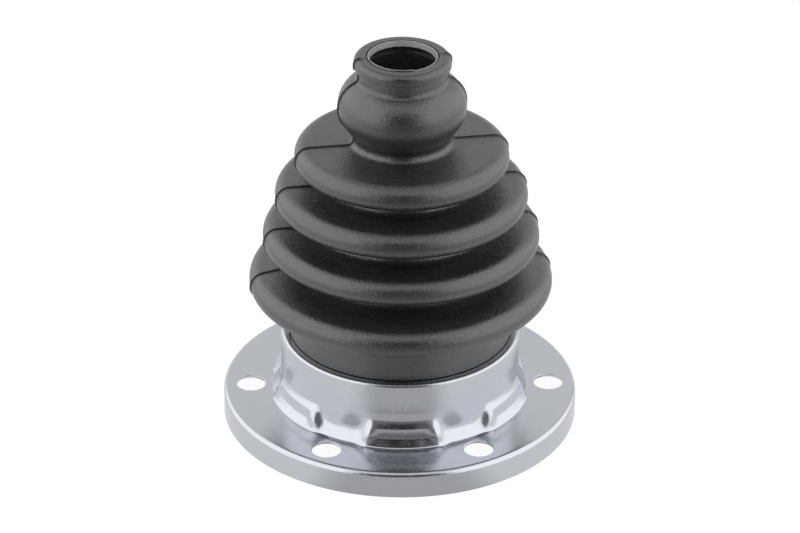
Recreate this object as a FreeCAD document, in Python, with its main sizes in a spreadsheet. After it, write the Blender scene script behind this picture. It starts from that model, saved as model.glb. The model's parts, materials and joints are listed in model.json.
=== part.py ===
import FreeCAD, Part
import math
import os
import Sketcher

# Drive shaft bellows: a moulded rubber bellows held by its foot in a pressed steel flange.
# The frame stands on the axis at the lower edge of the flange's skirt, with +Z towards the
# small end. Sizes are in millimetres and angles in degrees.
SIZES = {
    # Steel flange: one sheet pressed into a skirt, a bolting plate and a collar.
    # The bolt circle sets the size: the skirt and the collar stand off from it.
    "bolt_circle": 86.0,
    "bolt_hole": 8.4,
    "bolt_count": 6,
    "bolt_to_skirt": 7.85,
    "bolt_to_collar": 8.7,
    "sheet": 0.8,
    "plate_top": 7.6,
    "rim_round": 1.9,
    "collar_top": 26.6,
    "collar_lip_width": 2.0,
    "collar_lip_round": 1.1,
    # The collar flares out to the plate, and meets it in a tight round. flare_sink is how
    # far the flare runs on below the plate's top, flare_reach the share of its round that
    # lies between the collar and the tight round.
    "flare_round": 5.0,
    "flare_sink": 0.3,
    "flare_reach": 0.52,
    "foot_round": 0.6,
    # Six bosses pressed out of the collar's foot, half way between the bolt holes.
    # Their heights are taken from the top of the plate.
    "boss_top": 7.6,
    "boss_top_round": 0.4,
    "boss_depth": 1.6,
    "boss_face_top": 4.8,
    "boss_edge_round": 1.0,
    "boss_face_bottom": 2.6,
    "boss_face_round": 0.6,
    "boss_foot_depth": 3.7,
    "boss_foot_round": 0.9,
    "boss_wall_width": 23.2,
    "boss_foot_width": 17.8,
    "boss_end_wall": 1.0,
    "boss_lean": 2.1,
    # Rubber foot, trapped under the collar's lip, and the neck above it, which stands a
    # little inside the lip.
    "wall": 1.8,
    "foot_fit": 0.05,
    "foot_height": 10.0,
    "foot_edge_round": 0.5,
    "lock_groove_depth": 0.6,
    "lock_groove_gap": 0.7,
    "neck_gap": 0.3,
    "neck_height": 9.4,
    "neck_round": 2.5,
    # Folds, counted from the small end. Each stands a pitch above the fold below it, and
    # its top face rises by top_rise towards the valley above.
    "fold_band": 0.2,
    "fold4_radius": 43.25,
    "fold4_pitch": 16.0,
    "fold4_upper_round": 4.3,
    "fold4_lower_round": 2.85,
    "fold4_top_rise": 1.5,
    "fold3_radius": 39.3,
    "fold3_pitch": 14.6,
    "fold3_upper_round": 3.95,
    "fold3_lower_round": 2.8,
    "fold3_top_rise": 0.1,
    "fold2_radius": 35.8,
    "fold2_pitch": 12.9,
    "fold2_upper_round": 4.0,
    "fold2_lower_round": 3.1,
    "fold2_top_rise": 0.1,
    "fold1_radius": 30.3,
    "fold1_pitch": 12.0,
    "fold1_upper_round": 4.1,
    "fold1_lower_round": 2.95,
    "fold4_valley_radius": 29.4,
    "fold4_valley_round": 2.1,
    "fold3_valley_radius": 26.2,
    "fold3_valley_round": 2.1,
    "fold2_valley_radius": 22.0,
    "fold2_valley_round": 2.1,
    # Small end: waist, bulb, groove for the hose clamp, and lip. The waist and the shoulder,
    # where the bulb ends in a crease, stand in from the bulb, the groove stands in from the
    # shoulder, the lip stands out from the groove, and the wall is that under the groove.
    "bulb_radius": 18.15,
    "bulb_round": 8.65,
    "bulb_pitch": 15.45,
    "bulb_wall": 2.2,
    "waist_depth": 4.55,
    "waist_round": 1.9,
    "shoulder_depth": 3.95,
    "shoulder_round": 0.9,
    "clamp_groove_depth": 1.75,
    "clamp_groove_width": 3.5,
    "clamp_groove_round": 0.4,
    "lip_pitch": 15.45,
    "lip_reach": 1.25,
    "lip_height": 3.5,
    "lip_round": 0.6,
    "bore_wall": 2.75,
    "bore_land": 1.8,
    "bore_recess_depth": 0.8,
    "bore_recess_width": 2.2,
}
# Cutting tools reach this far past the material.
CLEAR = 3.0
FOLDS = ("fold4", "fold3", "fold2", "fold1")


class Measure:
    """A size together with the sheet formula that gives it."""

    def __init__(self, value, formula):
        self.value = value
        self.formula = formula

    def joined(self, sign, other, value):
        formula = other.formula if isinstance(other, Measure) else str(other)
        return Measure(value, f"({self.formula} {sign} {formula})")

    def __add__(self, other):
        return self.joined("+", other, self.value + number(other))

    def __sub__(self, other):
        return self.joined("-", other, self.value - number(other))

    def __mul__(self, other):
        return self.joined("*", other, self.value * number(other))

    def __truediv__(self, other):
        return self.joined("/", other, self.value / number(other))


NONE = Measure(0.0, "0")


def number(measure):
    return measure.value if isinstance(measure, Measure) else float(measure)


class Corner:
    """A sharp corner of an outline. One on the axis has no radius, and one without a height
    is a crease on the round before it."""

    turn = 0

    def __init__(self, name, radius, height):
        self.name = name
        self.radius = radius
        self.height = height


class Round:
    """A round of an outline, given by its centre. turn is 1 where the outline bends left
    round it and -1 where it bends right."""

    def __init__(self, name, radius, height, size, turn):
        self.name = name
        self.radius = radius
        self.height = height
        self.size = size
        self.turn = turn

    def inset(self, amount):
        """The same round on an outline drawn further in by amount."""
        size = self.size - amount if self.turn > 0 else self.size + amount
        return Round(self.name, self.radius, self.height, size, self.turn)

    def turned_back(self):
        """The same round on an outline drawn the other way."""
        return Round(f"{self.name}_back", self.radius, self.height, self.size, -self.turn)


def is_crease(mark):
    return mark.turn == 0 and mark.height is None


def reach(mark):
    """Size of a mark, positive where the outline bends left round it."""
    return mark.turn * number(mark.size) if mark.turn else 0.0


def place(mark, before):
    """Point of a corner, or centre of a round."""
    radius = number(mark.radius) if mark.radius is not None else 0.0
    if is_crease(mark):
        across = radius - number(before.radius)
        rise = math.sqrt(number(before.size) ** 2 - across ** 2)
        return FreeCAD.Vector(radius, number(before.height) + rise, 0)
    return FreeCAD.Vector(radius, number(mark.height), 0)


def straight(start, start_place, end, end_place):
    """Ends of the straight that leaves one mark and reaches the next."""
    way = end_place - start_place
    lean = math.acos((reach(start) - reach(end)) / way.Length)
    heading = math.atan2(way.y, way.x) - lean
    side = FreeCAD.Vector(math.cos(heading), math.sin(heading), 0)
    return start_place + side * reach(start), end_place + side * reach(end)


def arc(mark, centre, entry, leave):
    """The stretch of a round between the points where the outline meets and leaves it."""
    first, last = (entry, leave) if mark.turn > 0 else (leave, entry)
    angles = [math.atan2(point.y - centre.y, point.x - centre.x) for point in (first, last)]
    circle = Part.Circle(centre, FreeCAD.Vector(0, 0, 1), number(mark.size))
    return Part.ArcOfCircle(circle, *angles)


def draw_outline(sketch, marks):
    """Closed outline of radius and height, wrapped round its marks like a belt, with what it
    encloses on the left. Each size of each mark is a constraint bound to the sheet."""
    count, height_axis = len(marks), -2
    places = [place(mark, marks[index - 1]) for index, mark in enumerate(marks)]
    ends, lines, arcs = {}, {}, {}
    for index, mark in enumerate(marks):
        after = (index + 1) % count
        if is_crease(marks[after]):
            ends[index] = (places[after], places[after])
        else:
            ends[index] = straight(mark, places[index], marks[after], places[after])
            lines[index] = sketch.addGeometry(Part.LineSegment(*ends[index]), False)
    for index, mark in enumerate(marks):
        if mark.turn:
            curve = arc(mark, places[index], ends[(index - 1) % count][1], ends[index][0])
            arcs[index] = sketch.addGeometry(curve, False)

    joints, sizes = [], []
    for index, mark in enumerate(marks):
        before = (index - 1) % count
        point = (lines.get(index), 1)
        if mark.turn:
            entry, leave = (1, 2) if mark.turn > 0 else (2, 1)
            joints.append(Sketcher.Constraint("Tangent", lines[before], 2, arcs[index], entry))
            if index in lines:
                joints.append(Sketcher.Constraint("Tangent", arcs[index], leave, *point))
            point = (arcs[index], 3)
            sizes.append((f"{mark.name}_size", mark.size, "Radius", arcs[index]))
        elif is_crease(mark):
            leave = 2 if marks[before].turn > 0 else 1
            joints.append(Sketcher.Constraint("Coincident", arcs[before], leave, *point))
        else:
            joints.append(Sketcher.Constraint("Coincident", lines[before], 2, *point))
        if mark.radius is None:
            joints.append(Sketcher.Constraint("PointOnObject", *point, height_axis))
        else:
            sizes.append((f"{mark.name}_radius", mark.radius, "DistanceX", *point))
        if mark.height is not None:
            sizes.append((f"{mark.name}_height", mark.height, "DistanceY", *point))
    sketch.addConstraint(joints)
    for item in sizes:
        dimension(sketch, *item)


def dimension(sketch, name, measure, kind, *items):
    """One named dimension of a sketch, bound to the sheet. A distance is from the origin."""
    origin = () if kind == "Radius" else (-1, 1)
    index = sketch.addConstraint(Sketcher.Constraint(kind, *origin, *items, number(measure)))
    sketch.renameConstraint(index, name)
    sketch.setExpression(f"Constraints.{name}", measure.formula)


def make_sheet(doc):
    """Sheet of driving sizes, and each size as a measure."""
    sheet = doc.addObject("Spreadsheet::Sheet", "Sizes")
    for row, (name, value) in enumerate(SIZES.items(), start=1):
        sheet.set(f"A{row}", name)
        sheet.set(f"B{row}", str(value))
        sheet.setAlias(f"B{row}", name)
    doc.recompute()
    return {name: Measure(float(sheet.get(name)), f"Sizes.{name}") for name in SIZES}


def origin_item(body, role):
    return next(item for item in body.Origin.OriginFeatures if item.Role == role)


def new_sketch(body, name, role):
    sketch = body.newObject("Sketcher::SketchObject", name)
    sketch.AttachmentSupport = (origin_item(body, role), [""])
    sketch.MapMode = "FlatFace"
    return sketch


def turn_profile(body, kind, name, marks):
    """Turn an outline right round the axis, to add it or to cut it."""
    sketch = new_sketch(body, f"{name}_outline", "XZ_Plane")
    draw_outline(sketch, marks)
    feature = body.newObject(kind, name)
    feature.Profile = sketch
    feature.ReferenceAxis = (origin_item(body, "Z_Axis"), [""])
    feature.Angle = 360
    return feature


def repeat(body, feature, name, formula):
    """Copies of a feature, evenly spaced round the axis."""
    pattern = body.newObject("PartDesign::PolarPattern", name)
    pattern.Originals = [feature]
    pattern.Axis = (origin_item(body, "Z_Axis"), [""])
    pattern.Angle = 360
    pattern.setExpression("Occurrences", formula)
    body.Tip = pattern
    return pattern


def skirt_radius(size):
    return size["bolt_circle"] / 2 + size["bolt_to_skirt"]


def collar_radius(size):
    return size["bolt_circle"] / 2 - size["bolt_to_collar"]


def collar_lip_radius(size):
    return collar_radius(size) - size["collar_lip_width"]


def neck_radius(size):
    return collar_lip_radius(size) - size["neck_gap"]


def flange_rounds(size):
    """Rounds of the flange's outer side, from the skirt's rim up to the collar's lip."""
    plate, collar = size["plate_top"], collar_radius(size)
    rim, lip = size["rim_round"], size["collar_lip_round"]
    return [
        Round("rim", skirt_radius(size) - rim, plate - rim, rim, 1),
        Round("foot", collar + size["flare_round"] * size["flare_reach"],
              plate + size["foot_round"], size["foot_round"], -1),
        Round("flare", collar + size["flare_round"],
              plate + size["flare_round"] - size["flare_sink"], size["flare_round"], -1),
        Round("lip", collar - lip, size["collar_top"] - lip, lip, 1),
    ]


def flange_marks(size):
    """Section of the pressed sheet: up its outer side, then back down its inner side."""
    sheet, skirt = size["sheet"], skirt_radius(size)
    lip_radius, top = collar_lip_radius(size), size["collar_top"]
    outer = flange_rounds(size)
    inner = [item.inset(sheet).turned_back() for item in reversed(outer)]
    return [
        Corner("skirt_outside", skirt, NONE),
        *outer,
        Corner("lip_top", lip_radius, top),
        Corner("lip_bottom", lip_radius, top - sheet),
        *inner,
        Corner("skirt_inside", skirt - sheet, NONE),
    ]


def make_blank(doc, size):
    """The sheet turned to its section, with the six bolt holes."""
    body = doc.addObject("PartDesign::Body", "flange_blank")
    turn_profile(body, "PartDesign::Revolution", "pressed_sheet", flange_marks(size))
    sketch = new_sketch(body, "bolt_hole_circle", "XY_Plane")
    centre = FreeCAD.Vector(number(size["bolt_circle"]) / 2, 0, 0)
    hole = number(size["bolt_hole"]) / 2
    circle = sketch.addGeometry(Part.Circle(centre, FreeCAD.Vector(0, 0, 1), hole), False)
    sketch.addConstraint(Sketcher.Constraint("PointOnObject", circle, 3, -1))
    dimension(sketch, "hole_place", size["bolt_circle"] / 2, "DistanceX", circle, 3)
    dimension(sketch, "hole_size", size["bolt_hole"] / 2, "Radius", circle)
    pocket = body.newObject("PartDesign::Pocket", "bolt_hole")
    pocket.Profile = sketch
    pocket.Type = "Length"
    pocket.Reversed = True
    pocket.setExpression("Length", (size["plate_top"] + CLEAR).formula)
    repeat(body, pocket, "bolt_holes", size["bolt_count"].formula)
    return body


def boss_space(size, depth):
    """The space outside a boss's face, taken further in by a depth."""
    plate, collar = size["plate_top"], collar_radius(size)
    edge_radius = collar + size["boss_depth"] - size["boss_edge_round"]
    face_radius = collar + size["boss_depth"] + size["boss_face_round"]
    foot = size["boss_foot_round"]
    rounds = [
        Round("boss_top", collar + size["boss_top_round"], plate + size["boss_top"],
              size["boss_top_round"], 1),
        Round("boss_edge", edge_radius, plate + size["boss_face_top"],
              size["boss_edge_round"], -1),
        Round("boss_face", face_radius, plate + size["boss_face_bottom"],
              size["boss_face_round"], 1),
        Round("boss_foot", collar + size["boss_foot_depth"], plate + foot, foot, 1),
    ]
    far, high = skirt_radius(size), size["collar_top"]
    return [
        Corner("space_top_inside", collar - depth, high),
        *[item.inset(NONE - depth) for item in rounds],
        Corner("space_bottom", far, plate - depth),
        Corner("space_top_outside", far, high),
    ]


def collar_core(size):
    """Everything inside the middle of the collar's sheet, down to the plate."""
    middle, high = size["sheet"] / 2, size["collar_top"]
    low = size["plate_top"] - middle
    _, foot, flare, _ = flange_rounds(size)
    return [
        Corner("core_bottom_axis", None, low),
        Corner("core_bottom", foot.radius, low),
        flare.inset(middle),
        Corner("core_top", collar_radius(size) - middle, high),
        Corner("core_top_axis", None, high),
    ]


def make_bosses(doc, size, name, inside):
    """Six wedge blocks trimmed to the boss's face, or the hollows inside them."""
    body = doc.addObject("PartDesign::Body", name)
    body.AllowCompound = True
    plate, collar, sheet = size["plate_top"], collar_radius(size), size["sheet"]
    depth, inset = (sheet, size["boss_end_wall"]) if inside else (NONE, NONE)
    bottom = plate - sheet * 2 if inside else plate - sheet / 2
    back, top = collar_lip_radius(size) - CLEAR, plate + size["boss_top"] + CLEAR
    foot = collar + size["boss_foot_depth"]
    front = foot + size["boss_foot_round"] + CLEAR
    slant = (size["boss_wall_width"] - size["boss_foot_width"]) / 2 / (foot - collar)
    lean = size["boss_lean"] / size["boss_top"]

    plans = []
    for level, height in (("low", bottom), ("high", top)):
        half = size["boss_wall_width"] / 2 - inset - lean * (height - plate)
        sketch = new_sketch(body, f"{name}_{level}_plan", "XY_Plane")
        sketch.setExpression("AttachmentOffset.Base.z", height.formula)
        draw_wedge(sketch, back, half + slant * (collar - back), front,
                   half - slant * (front - collar))
        plans.append(sketch)
    block = body.newObject("PartDesign::AdditiveLoft", f"{name}_block")
    block.Profile = plans[0]
    block.Sections = plans[1:]
    block.Ruled = True
    repeat(body, block, f"{name}_blocks", size["bolt_count"].formula)
    turn_profile(body, "PartDesign::Groove", f"{name}_face", boss_space(size, depth))
    if not inside:
        turn_profile(body, "PartDesign::Groove", f"{name}_core", collar_core(size))
    return body


def draw_wedge(sketch, back, back_half, front, front_half):
    """Four-sided plan, wide at the back and narrow at the front, even about the X axis."""
    points = [FreeCAD.Vector(number(along), side * number(half), 0)
              for along, side, half in ((back, 1, back_half), (back, -1, back_half),
                                        (front, -1, front_half), (front, 1, front_half))]
    sides = [sketch.addGeometry(Part.LineSegment(point, points[(index + 1) % 4]), False)
             for index, point in enumerate(points)]
    for index, side in enumerate(sides):
        following = sides[(index + 1) % 4]
        sketch.addConstraint(Sketcher.Constraint("Coincident", side, 2, following, 1))
    for side in (sides[0], sides[2]):
        sketch.addConstraint(Sketcher.Constraint("Symmetric", side, 1, side, 2, -1))
    dimension(sketch, "back_place", back, "DistanceX", sides[0], 1)
    dimension(sketch, "back_half", back_half, "DistanceY", sides[0], 1)
    dimension(sketch, "front_place", front, "DistanceX", sides[2], 2)
    dimension(sketch, "front_half", front_half, "DistanceY", sides[2], 2)


def make_flange(doc, size):
    blank = make_blank(doc, size)
    bosses = make_bosses(doc, size, "boss", inside=False)
    hollows = make_bosses(doc, size, "hollow", inside=True)
    turned = FreeCAD.Rotation(FreeCAD.Vector(0, 0, 1), 180 / number(size["bolt_count"]))
    for body in (bosses, hollows):
        body.Placement = FreeCAD.Placement(FreeCAD.Vector(0, 0, 0), turned)
    formed = doc.addObject("Part::MultiFuse", "flange_with_bosses")
    formed.Shapes = [blank, bosses]
    flange = doc.addObject("Part::Cut", "steel_flange")
    flange.Base = formed
    flange.Tool = hollows
    flange.Label = "steel_flange"
    return flange


def fold_marks(size):
    """Neck, four folds and waist of the bellows from the bottom up, and the height of the
    uppermost fold."""
    marks = [Round("neck", neck_radius(size) + size["neck_round"],
                   size["collar_top"] + size["neck_height"], size["neck_round"], -1)]
    height, half_band = size["collar_top"], size["fold_band"] / 2
    for name in FOLDS:
        radius = size[f"{name}_radius"]
        upper, lower = size[f"{name}_upper_round"], size[f"{name}_lower_round"]
        height = height + size[f"{name}_pitch"]
        top = height + half_band + upper
        marks.append(Round(f"{name}_lower", radius - lower, height - half_band, lower, 1))
        marks.append(Round(f"{name}_upper", radius - upper, height + half_band, upper, 1))
        if name != FOLDS[-1]:
            bend = size[f"{name}_valley_round"]
            marks.append(Round(f"{name}_valley", size[f"{name}_valley_radius"] + bend,
                               top + size[f"{name}_top_rise"] + bend, bend, -1))
    waist = size["waist_round"]
    marks.append(Round("waist", size["bulb_radius"] - size["waist_depth"] + waist, top + waist,
                       waist, -1))
    return marks, height


def bellows_heights(size):
    """Heights that the small end is set out from."""
    _, top_fold = fold_marks(size)
    bulb = top_fold + size["bulb_pitch"]
    lip_top = bulb + size["lip_pitch"]
    return bulb, lip_top, lip_top - size["lip_height"]


def clamp_groove_radius(size):
    return size["bulb_radius"] - size["shoulder_depth"] - size["clamp_groove_depth"]


def skin_marks(size):
    """Outer skin from the neck up to the lip's top."""
    bulb, lip_top, lip_bottom = bellows_heights(size)
    shoulder_radius = size["bulb_radius"] - size["shoulder_depth"]
    groove, soft = clamp_groove_radius(size), size["clamp_groove_round"]
    shoulder, lip = size["shoulder_round"], size["lip_round"]
    lip_centre = groove + size["lip_reach"] - lip
    folds, _ = fold_marks(size)
    return [
        *folds,
        Round("bulb", size["bulb_radius"] - size["bulb_round"], bulb, size["bulb_round"], 1),
        Corner("shoulder_crease", shoulder_radius, None),
        Round("shoulder", groove + shoulder, lip_bottom - size["clamp_groove_width"],
              shoulder, -1),
        Round("clamp_groove", groove + soft, lip_bottom - soft, soft, -1),
        Round("lip_lower", lip_centre, lip_bottom + lip, lip, 1),
        Round("lip_upper", lip_centre, lip_top - lip, lip, 1),
        Corner("top_axis", None, lip_top),
    ]


def cavity_marks(size):
    """Inside of the bellows, a wall's thickness in from the skin, up to the bore."""
    bulb, lip_top, _ = bellows_heights(size)
    folds, _ = fold_marks(size)
    bulb_round = size["bulb_round"] - size["bulb_wall"]
    bore = clamp_groove_radius(size) - size["bore_wall"]
    recess = bore + size["bore_recess_depth"]
    recess_top = lip_top - size["bore_land"]
    recess_bottom = recess_top - size["bore_recess_width"]
    return [
        Corner("mouth_axis", None, foot_bottom(size)),
        Corner("mouth_edge", neck_radius(size) - size["wall"], foot_bottom(size)),
        *[mark.inset(size["wall"]) for mark in folds],
        Round("bulb", size["bulb_radius"] - size["bulb_round"], bulb, bulb_round, 1),
        Corner("bore_bottom", bore, None),
        Corner("land_top", bore, recess_bottom),
        Corner("recess_bottom", recess, recess_bottom),
        Corner("recess_top", recess, recess_top),
        Corner("land_bottom", bore, recess_top),
        Corner("bore_top", bore, lip_top),
        Corner("bore_axis", None, lip_top),
    ]


def foot_bottom(size):
    return size["collar_top"] - size["sheet"] - size["foot_height"]


def neck_bottom(size):
    return size["collar_top"] + size["lock_groove_gap"]


def foot_marks(size):
    """Rubber foot inside the collar, and the groove that takes the collar's lip."""
    bottom, top = foot_bottom(size), size["collar_top"] - size["sheet"]
    soft = size["foot_edge_round"]
    edge = collar_radius(size) - size["sheet"] - size["foot_fit"] - soft
    groove = neck_radius(size) - size["lock_groove_depth"]
    return [
        Corner("foot_axis", None, bottom),
        Round("foot_lower", edge, bottom + soft, soft, 1),
        Round("foot_upper", edge, top - soft, soft, 1),
        Corner("lock_groove_bottom", groove, top),
        Corner("lock_groove_top", groove, neck_bottom(size)),
        Corner("neck_edge", neck_radius(size), neck_bottom(size)),
    ]


def make_bellows(doc, size):
    body = doc.addObject("PartDesign::Body", "rubber_bellows")
    turn_profile(body, "PartDesign::Revolution", "bellows_form",
                 [*foot_marks(size), *skin_marks(size)])
    turn_profile(body, "PartDesign::Groove", "bellows_cavity", cavity_marks(size))
    return body


def check_built(doc, pieces):
    """Stop on a failed feature, a loose sketch or a solid that isn't whole."""
    for item in doc.Objects:
        if "Invalid" in item.State or "Error" in item.State:
            raise RuntimeError(f"{item.Label} failed: {item.State}")
        if item.TypeId == "Sketcher::SketchObject" and not item.FullyConstrained:
            raise RuntimeError(f"{item.Label} isn't fully constrained")
    for piece in pieces:
        if piece.Shape.isNull() or not piece.Shape.isValid() or len(piece.Shape.Solids) != 1:
            raise RuntimeError(f"{piece.Label} isn't one valid solid")


def main():
    doc = FreeCAD.newDocument("drive_shaft_bellows")
    size = make_sheet(doc)
    pieces = [make_flange(doc, size), make_bellows(doc, size)]
    doc.recompute()
    check_built(doc, pieces)
    os.makedirs("parts", exist_ok=True)
    for piece in pieces:
        piece.Shape.exportStep(os.path.join("parts", f"{piece.Label}.step"))
        print(f"{piece.Label}: {piece.Shape.Volume:.1f} mm3")


main()
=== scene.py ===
import json
import math

import bpy
from mathutils import Matrix, Vector, kdtree


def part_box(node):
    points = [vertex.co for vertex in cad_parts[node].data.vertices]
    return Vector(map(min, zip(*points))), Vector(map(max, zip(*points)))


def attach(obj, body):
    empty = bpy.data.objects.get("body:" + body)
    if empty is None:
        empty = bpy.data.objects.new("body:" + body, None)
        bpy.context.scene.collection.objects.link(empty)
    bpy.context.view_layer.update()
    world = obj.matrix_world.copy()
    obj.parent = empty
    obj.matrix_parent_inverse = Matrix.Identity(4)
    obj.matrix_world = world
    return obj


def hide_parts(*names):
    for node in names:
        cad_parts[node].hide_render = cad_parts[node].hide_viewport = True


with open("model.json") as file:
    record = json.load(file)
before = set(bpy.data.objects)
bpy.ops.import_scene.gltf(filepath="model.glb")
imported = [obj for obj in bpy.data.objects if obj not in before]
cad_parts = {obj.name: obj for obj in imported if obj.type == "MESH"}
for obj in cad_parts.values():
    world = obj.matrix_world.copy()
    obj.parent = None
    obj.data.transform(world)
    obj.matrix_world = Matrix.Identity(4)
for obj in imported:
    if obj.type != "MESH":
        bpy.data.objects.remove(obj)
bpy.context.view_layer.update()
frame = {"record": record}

bl_info = {
    "name": "Rubber Bellows Boot",
    "version": (1, 0, 0),
    "blender": (4, 5, 0),
    "location": "View3D > Sidebar > Boot",
    "description": "Moulded rubber bellows in a pressed steel flange, with its studio",
    "category": "Add Mesh",
}

MM = 0.001
BODY = "root"
MOUNTS = {mount["name"]: mount["dims"] for mount in frame["record"]["mounts"]}
BOLTS = MOUNTS["joint_bolts"]
FLANGE_LOW, FLANGE_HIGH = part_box("steel_flange")
BELLOWS_LOW, BELLOWS_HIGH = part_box("rubber_bellows")

HALF_PITCH = 180 / BOLTS["count"]   # degrees from a bolt hole to a boss's middle
# Rings of the flange, as first degree, last degree and steps: from a bolt hole to a boss,
# round the boss's end and on to its middle.
RING_STRETCHES = ((0, 8, 6), (8, 18.5, 36), (18.5, HALF_PITCH, 8))
# Rows of points across the plate, and from there to the foot of a boss or of the flare.
PLATE_ROWS, FOOT_ROWS = 10, 4
# The crease at the mouth, from the lip inwards, as shares of its size: how far outside the
# mouth's wall and how deep.
CREASE = ((1.3, 0), (1.2, 2), (0.6, 2), (0.4, 0))
SEAM_GAP = 0.02 * MM   # points nearer than this are joined
SMOOTH_ANGLE = math.radians(40)   # sharper edges stay sharp
HOLE_SIDES = 96
TINY = 1e-6   # radians or millimetres that count as none
NOISE_LOW, NOISE_HIGH = 0.3, 0.7   # most of a noise's values lie between these


def length(name, description, millimetres):
    """A length property whose default is given in millimetres."""
    return bpy.props.FloatProperty(name=name, description=description, default=millimetres * MM,
                                   precision=5, unit="LENGTH")


def lengths(name, description, millimetres):
    """A row of length properties. Those of the folds run from the small end down."""
    return bpy.props.FloatVectorProperty(name=name, description=description,
                                         size=len(millimetres), precision=5, unit="LENGTH",
                                         default=[value * MM for value in millimetres])


def angle_of(name, description, degrees):
    """An angle property whose default is given in degrees."""
    return bpy.props.FloatProperty(name=name, description=description, subtype="ANGLE",
                                   unit="ROTATION", default=math.radians(degrees))


def share(name, description, value):
    """A plain number. Of a share or a brightness, 1 is all of it or white."""
    return bpy.props.FloatProperty(name=name, description=description, default=value, min=0)


def shares(name, description, values):
    """A row of plain numbers."""
    return bpy.props.FloatVectorProperty(name=name, description=description,
                                         size=len(values), default=values, min=0)


def colour(name, description, hex_value):
    """A colour property whose default is an sRGB hex value."""
    return bpy.props.FloatVectorProperty(name=name, description=description, subtype="COLOR",
                                         size=3, min=0, max=1, default=linear(hex_value))


def linear(hex_value):
    """Linear RGB of an sRGB hex value."""
    shades = [int(hex_value[index:index + 2], 16) / 255 for index in (1, 3, 5)]
    return [shade / 12.92 if shade <= 0.04045 else ((shade + 0.055) / 1.055) ** 2.4
            for shade in shades]


class BellowsSizes(bpy.types.PropertyGroup):
    """Sizes of the rubber bellows."""
    wall: length("Wall", "Thickness of the rubber in the folds", 1.8)
    foot_radius: length("Foot radius", "Outside of the foot, inside the collar", 33.45)
    foot_edge: length("Foot edge", "Round on the foot's edges", 0.5)
    groove_gap: length("Lock groove gap", "Gap between the collar's lip and the neck", 0.1)
    neck_radius: length("Neck radius", "Outside of the neck", 32.0)
    neck_height: length("Neck height", "From the collar's lip to the neck's round", 9.4)
    neck_edge: length("Neck edge", "Round on the neck's lower edge", 0.2)
    neck_round: length("Neck round", "Round from the neck into the lowest fold", 2.5)
    fold_band: length("Fold band", "Upright band at the edge of a fold", 0.2)
    fold_radius: lengths("Fold radius", "Outside of each fold", (30.3, 35.8, 39.3, 43.25))
    fold_pitch: lengths("Fold pitch", "Rise to each fold from below", (12.0, 12.9, 14.25, 16.0))
    fold_upper: lengths("Upper round", "Round on each fold's upper edge", (4.1, 4.0, 3.95, 4.3))
    fold_lower: lengths("Lower round", "Round on each fold's lower edge",
                        (2.95, 3.1, 2.8, 2.85))
    fold_slope: lengths("Top slope", "Rise of each fold's top to its valley",
                        (0.0, 0.1, 0.1, 1.5))
    valley_radius: lengths("Valley radius", "Floor of the valley above each fold",
                           (13.6, 22.0, 26.2, 29.4))
    valley_round: lengths("Valley round", "Round in each valley", (1.9, 2.1, 2.1, 2.1))
    bulb_radius: length("Bulb radius", "Outside of the bulb", 18.15)
    bulb_round: length("Bulb round", "Round of the bulb's side", 8.65)
    bulb_pitch: length("Bulb pitch", "From the uppermost fold to the bulb", 15.8)
    bulb_wall: length("Bulb wall", "Thickness of the bulb", 2.2)
    shoulder_round: length("Shoulder round", "Round from the bulb into the groove", 1.8)
    clamp_round: length("Clamp groove round", "Round under the lip", 0.4)
    lip_pitch: length("Lip pitch", "From the bulb to the lip's top", 15.45)
    lip_radius: length("Lip radius", "Outside of the lip", 13.7)
    lip_height: length("Lip height", "Height of the lip", 3.5)
    lip_round: length("Lip round", "Round on the lip's upper edge", 1.8)
    lip_under: length("Lip under", "Round on the lip's lower edge", 0.5)
    mouth_radius: length("Mouth radius", "Upper edge of the mouth, trimmed by knife", 9.6)
    mouth_crease: length("Mouth crease", "Crease between the mouth's wall and the lip", 0.5)
    mouth_throat: length("Mouth throat", "Lower edge of the mouth's wall", 9.25)
    mouth_depth: length("Mouth depth", "Height of the mouth's wall", 1.6)
    flash_height: length("Flash height", "Flash round the mouth, over the lip's top", 0.3)
    flash_width: length("Flash width", "Width of the flash round the mouth", 0.4)
    flash_from: angle_of("Flash from", "Angle where the flash starts", 178)
    flash_to: angle_of("Flash to", "Angle where the flash is cut off", 287)
    recess_radius: length("Bore recess radius", "Floor of the recess in the bore", 10.5)
    recess_width: length("Bore recess width", "Width of the recess in the bore", 2.2)
    ridge_end: length("Moulding line end", "Radius where it dies out on the lip", 10.4)
    ridge_full: length("Moulding line full", "Radius from which it is full", 12.2)
    ridge_height: length("Moulding line height", "How far the moulding line is proud", 0.35)
    ridge_width: length("Moulding line width", "Width of the moulding line", 0.5)
    ridge_crest: length("Moulding line crest", "Width of its flat crest", 0.2)
    ridge_turn: angle_of("Moulding line turn", "Turn of the moulding line about the axis", 8.2)
    skin_step: angle_of("Skin step", "Turn between points of the outer rounds", 7.5)
    hidden_step: angle_of("Hidden step", "Turn between points of the inner rounds", 14)
    spin_step: angle_of("Spin step", "Turn between rings of the section", 2)


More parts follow.
